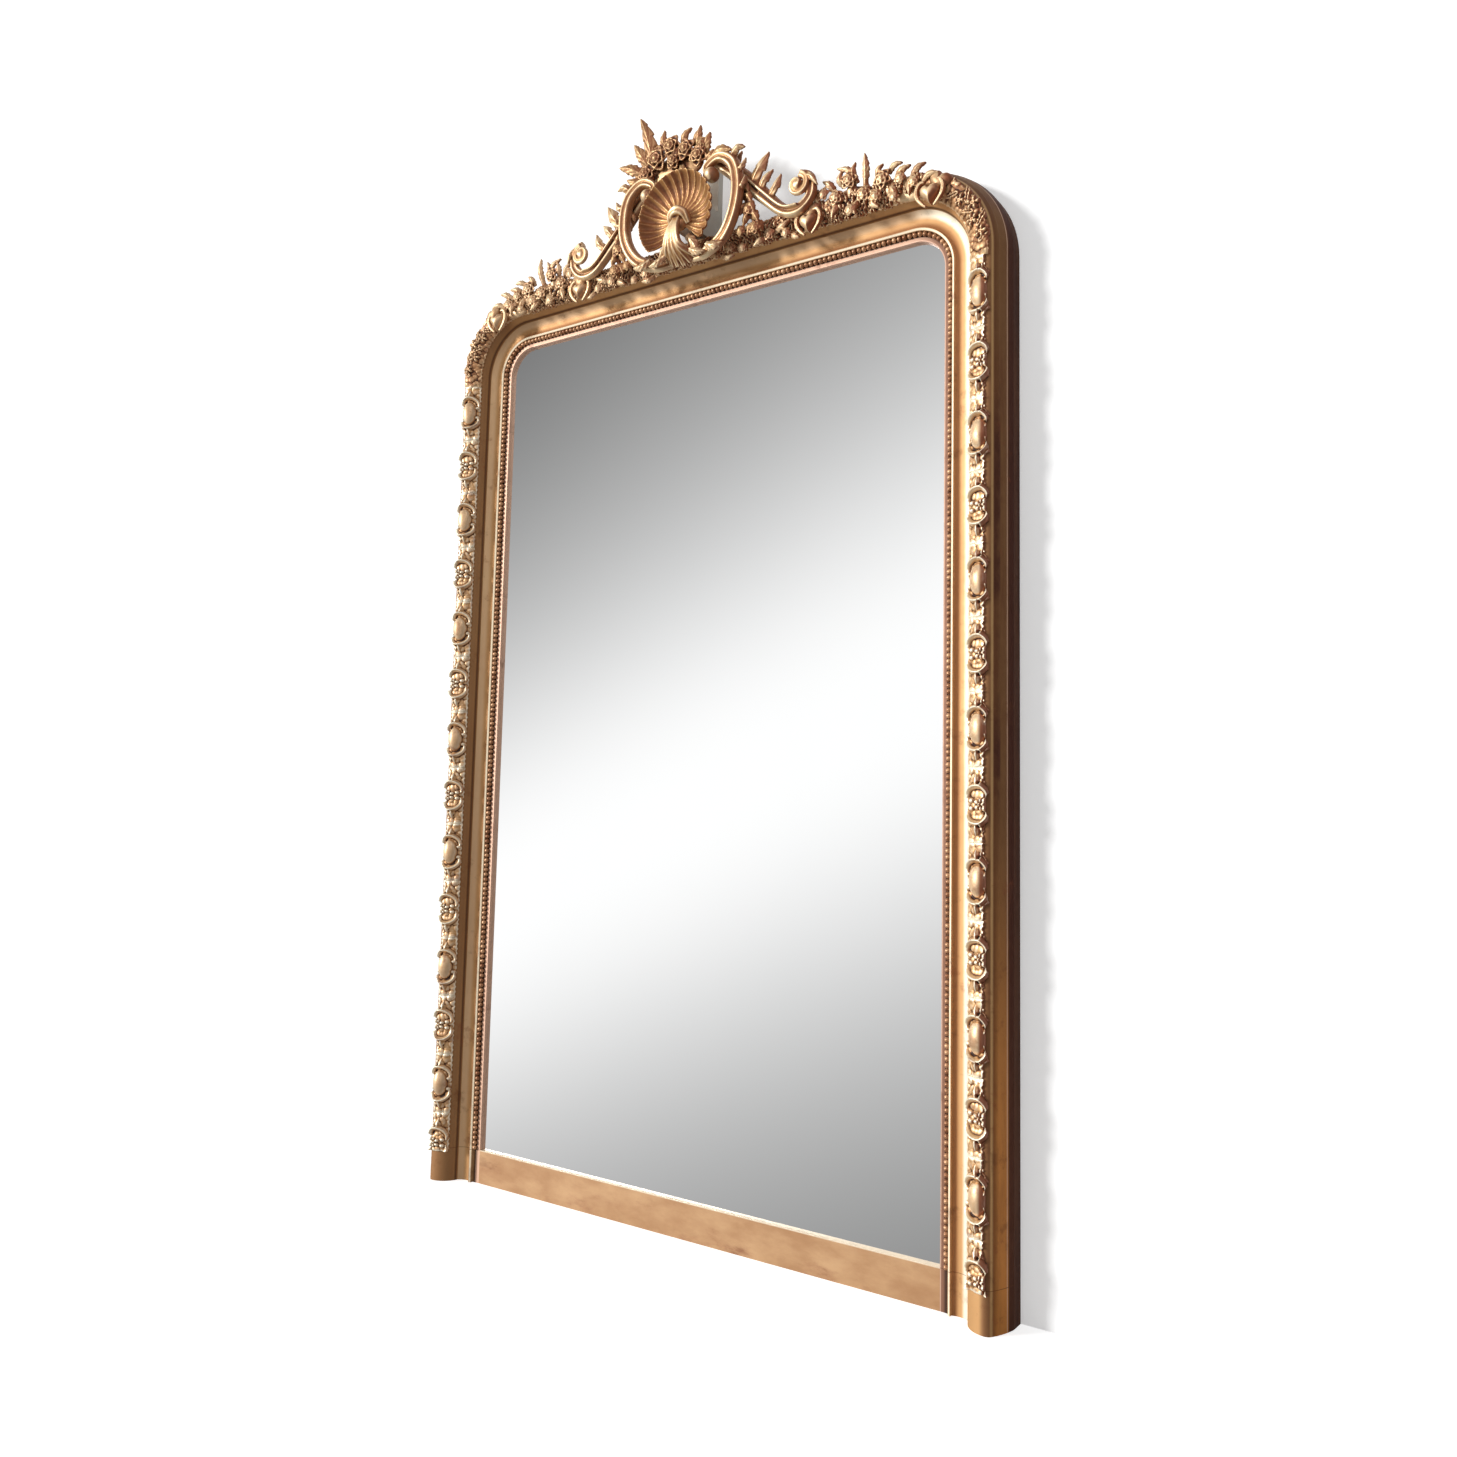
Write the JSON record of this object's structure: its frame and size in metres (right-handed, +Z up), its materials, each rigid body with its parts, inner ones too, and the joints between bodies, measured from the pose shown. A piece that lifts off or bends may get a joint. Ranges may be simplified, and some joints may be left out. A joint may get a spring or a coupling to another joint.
{
  "type": "overmantel mirror",
  "caption": "Tall gilt overmantel mirror with rounded top corners, beaded hollow moulding, carved running ornament, plain base board and an openwork shell and scroll crest.",
  "frame": {"origin": "middle of the underside, half way through the depth of the base board and its rail; the wall face is 15.5 mm behind it", "axes": "+Z up, -Y towards the room, +Y towards the wall, +X to the right as seen from the front"},
  "size_m": [1.158, 0.125, 1.9473],
  "materials": {
    "gilt_moulding": "aged oil gilding on gesso, soft sheen",
    "beads": "burnished gilding, worn",
    "gilt_base": "matt water gilding with leaf laps",
    "gilt_carving": "bleached gilding over gesso and composition",
    "mirror_glass": "clear silvered plate",
    "backing": "raw darkened softwood",
    "pine": "planed softwood, ochre wash on the outside",
    "screw_steel": "dull steel",
    "plate_iron": "blackened iron"
  },
  "bodies": {
    "root": {"back_batten_high": "pine", "back_batten_low": "pine", "backing_board_1": "backing", "backing_board_2": "backing", "backing_board_3": "backing", "base_board": "gilt_base", "batten_screws": "screw_steel", "bead_string_corner_left": "beads", "bead_string_corner_right": "beads", "bead_string_left": "beads", "bead_string_right": "beads", "bead_string_top": "beads", "bottom_rail": "pine", "bouquet": "gilt_carving", "c_scroll_left": "gilt_carving", "c_scroll_right": "gilt_carving", "corner_ornament_left": "gilt_carving", "corner_ornament_right": "gilt_carving", "crest_block": "pine", "crest_screws": "screw_steel", "crest_spine": "pine", "drape": "gilt_carving", "garland_left": "gilt_carving", "garland_right": "gilt_carving", "glazing_wedges": "pine", "hanging_plate_left": "plate_iron", "hanging_plate_right": "plate_iron", "inner_moulding_corner_left": "gilt_moulding", "inner_moulding_corner_right": "gilt_moulding", "inner_moulding_left": "gilt_moulding", "inner_moulding_right": "gilt_moulding", "inner_moulding_top": "gilt_moulding", "mirror_plate": "mirror_glass", "ornament_left": "gilt_carving", "ornament_right": "gilt_carving", "outer_moulding_corner_left": "gilt_moulding", "outer_moulding_corner_right": "gilt_moulding", "outer_moulding_left": "gilt_moulding", "outer_moulding_right": "gilt_moulding", "outer_moulding_top": "gilt_moulding", "plate_screws": "screw_steel", "plinth_left": "gilt_base", "plinth_right": "gilt_base", "right_leaves": "gilt_carving", "s_scroll_left": "gilt_carving", "s_scroll_right": "gilt_carving", "setting_blocks": "pine", "shell": "gilt_carving", "side_leaves": "gilt_carving", "stile_left": "pine", "stile_right": "pine", "tall_leaf": "gilt_carving", "top_ornament_left": "gilt_carving", "top_ornament_right": "gilt_carving", "top_rail": "pine"}
  },
  "joints": []
}
